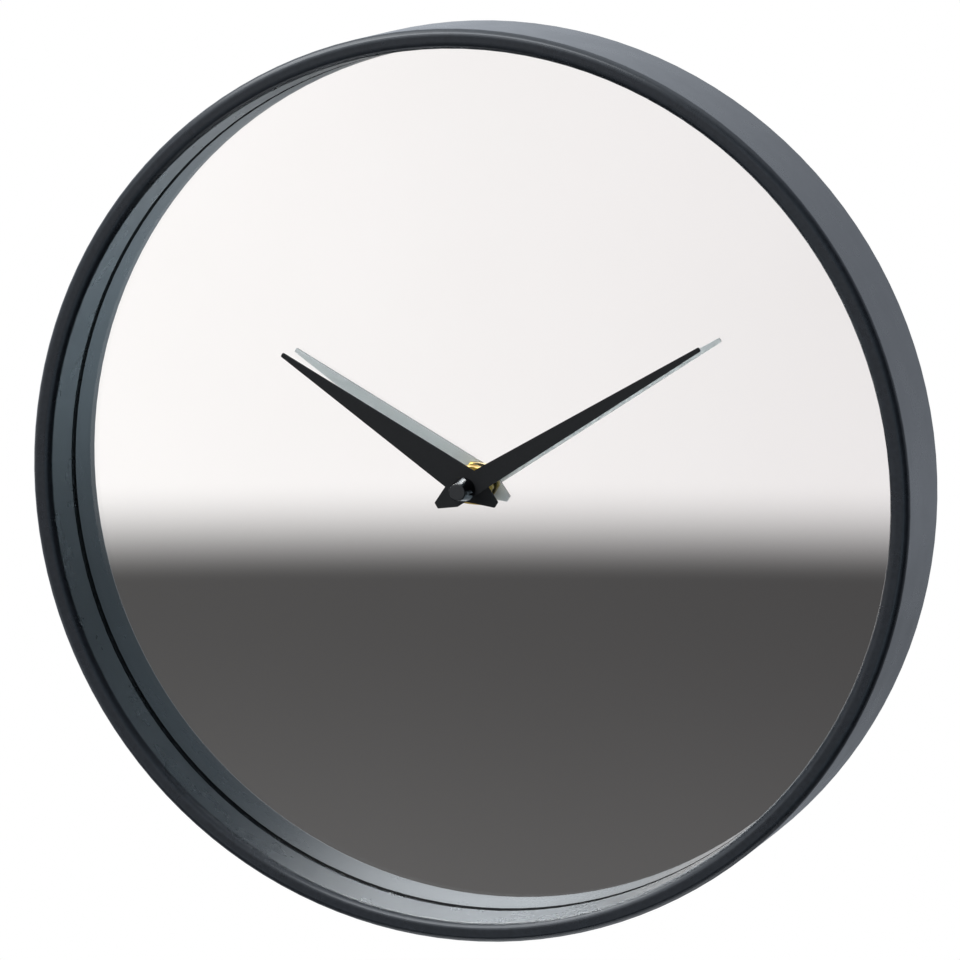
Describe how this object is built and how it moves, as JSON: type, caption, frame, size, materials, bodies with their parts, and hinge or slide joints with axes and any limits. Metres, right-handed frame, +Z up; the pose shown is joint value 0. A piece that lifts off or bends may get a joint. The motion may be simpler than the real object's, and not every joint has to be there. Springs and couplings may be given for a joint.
{
  "type": "mirror wall clock",
  "caption": "Round wall clock with a mirror dial set deep in a narrow ring, a pair of black kite-shaped hands and a quartz movement with its gear train behind the glass.",
  "frame": {"origin": "on the hands' axis, in the wall plane that the ring's back edge lies on", "axes": "+Y into the wall, +Z up towards 12 o'clock, +X towards 3 o'clock seen from the front"},
  "size_m": [0.3012, 0.0375, 0.3012],
  "materials": {
    "case_finish": "satin anthracite with a fine speckle",
    "mirror_glass": "clear float glass, silvered on its back",
    "tray_plastic": "fine moulded grain",
    "screw_steel": "zinc plated",
    "hanger_steel": "zinc plated sheet",
    "hand_aluminium": "matt black front, bare pale back",
    "cap_plastic": "glossy black",
    "brass": "turned",
    "gasket_rubber": "matt",
    "movement_plastic": "moulded",
    "knob_plastic": "moulded",
    "battery_can": "plain coloured sleeve",
    "contact_steel": "nickel plated spring sheet",
    "board": "solder mask",
    "crystal_can": "drawn can",
    "chip_resin": "potting resin",
    "bobbin_plastic": "moulded",
    "copper_wire": "enamelled copper",
    "stator_iron": "soft iron sheet",
    "magnet": "plastic-bonded magnet",
    "gear_plastic": "natural acetal",
    "spring_steel": "bright"
  },
  "bodies": {
    "case": {"case_ring": "case_finish", "mirror": "mirror_glass", "back_tray": "tray_plastic", "tray_screws": "screw_steel", "hanger_plate": "hanger_steel", "hanger_screws": "screw_steel", "fixing_nut": "brass", "fixing_washer": "brass", "threaded_bush": "brass", "mirror_gasket": "gasket_rubber", "movement_case": "movement_plastic", "movement_cover": "movement_plastic", "battery_contact_positive": "contact_steel", "battery_contact_negative": "contact_steel", "circuit_board": "board", "quartz_crystal": "crystal_can", "control_chip": "chip_resin", "coil_bobbin": "bobbin_plastic", "coil_winding": "copper_wire", "coil_core": "stator_iron", "stator": "stator_iron"},
    "minute_group": {"minute_hand": "hand_aluminium", "hand_cap": "cap_plastic", "minute_arbor": "brass", "clutch_spring": "spring_steel"},
    "hour_group": {"hour_hand": "hand_aluminium", "hour_wheel": "gear_plastic"},
    "minute_wheel": {"minute_wheel": "gear_plastic"},
    "setting_knob": {"setting_knob": "knob_plastic"},
    "second_wheel": {"second_wheel": "gear_plastic"},
    "third_wheel": {"third_wheel": "gear_plastic"},
    "centre_wheel": {"centre_wheel": "gear_plastic"},
    "fifth_wheel": {"fifth_wheel": "gear_plastic"},
    "rotor": {"rotor_magnet": "magnet", "rotor_pinion": "gear_plastic"},
    "battery": {"aa_battery": "battery_can"}
  },
  "joints": [
    {"name": "minute_hand_turn", "type": "hinge", "parent": "case", "child": "minute_group", "pos_m": [0, 0, 0], "axis": [0, 1, 0], "continuous": true},
    {"name": "hour_hand_turn", "type": "hinge", "parent": "case", "child": "hour_group", "pos_m": [0, 0, 0], "axis": [0, 1, 0], "continuous": true},
    {"name": "minute_wheel_turn", "type": "hinge", "parent": "case", "child": "minute_wheel", "pos_m": [0.01, 0, 0], "axis": [0, 1, 0], "continuous": true},
    {"name": "setting_knob_turn", "type": "hinge", "parent": "case", "child": "setting_knob", "pos_m": [0.01798, 0, 0.0067], "axis": [0, 1, 0], "continuous": true},
    {"name": "second_wheel_turn", "type": "hinge", "parent": "case", "child": "second_wheel", "pos_m": [0, 0, 0], "axis": [0, 1, 0], "continuous": true},
    {"name": "third_wheel_turn", "type": "hinge", "parent": "case", "child": "third_wheel", "pos_m": [-0.01016, 0, -0.00089], "axis": [0, 1, 0], "continuous": true},
    {"name": "centre_wheel_turn", "type": "hinge", "parent": "case", "child": "centre_wheel", "pos_m": [0, 0, 0], "axis": [0, 1, 0], "continuous": true},
    {"name": "fifth_wheel_turn", "type": "hinge", "parent": "case", "child": "fifth_wheel", "pos_m": [0.00264, 0, 0.00985], "axis": [0, 1, 0], "continuous": true},
    {"name": "rotor_turn", "type": "hinge", "parent": "case", "child": "rotor", "pos_m": [0.00659, 0, 0.01669], "axis": [0, 1, 0], "continuous": true},
    {"name": "battery_slide", "type": "slide", "parent": "case", "child": "battery", "axis": [0, 1, 0], "range_m": [0, 0.03]}
  ],
  "couplings": [
    {"joint": "hour_hand_turn", "follows": "minute_hand_turn", "ratio": 0.083333},
    {"joint": "minute_wheel_turn", "follows": "minute_hand_turn", "ratio": -0.33333},
    {"joint": "setting_knob_turn", "follows": "minute_hand_turn", "ratio": 0.85714},
    {"joint": "third_wheel_turn", "follows": "second_wheel_turn", "ratio": -0.13333},
    {"joint": "centre_wheel_turn", "follows": "second_wheel_turn", "ratio": 0.016667},
    {"joint": "fifth_wheel_turn", "follows": "second_wheel_turn", "ratio": -6},
    {"joint": "rotor_turn", "follows": "second_wheel_turn", "ratio": 30}
  ]
}
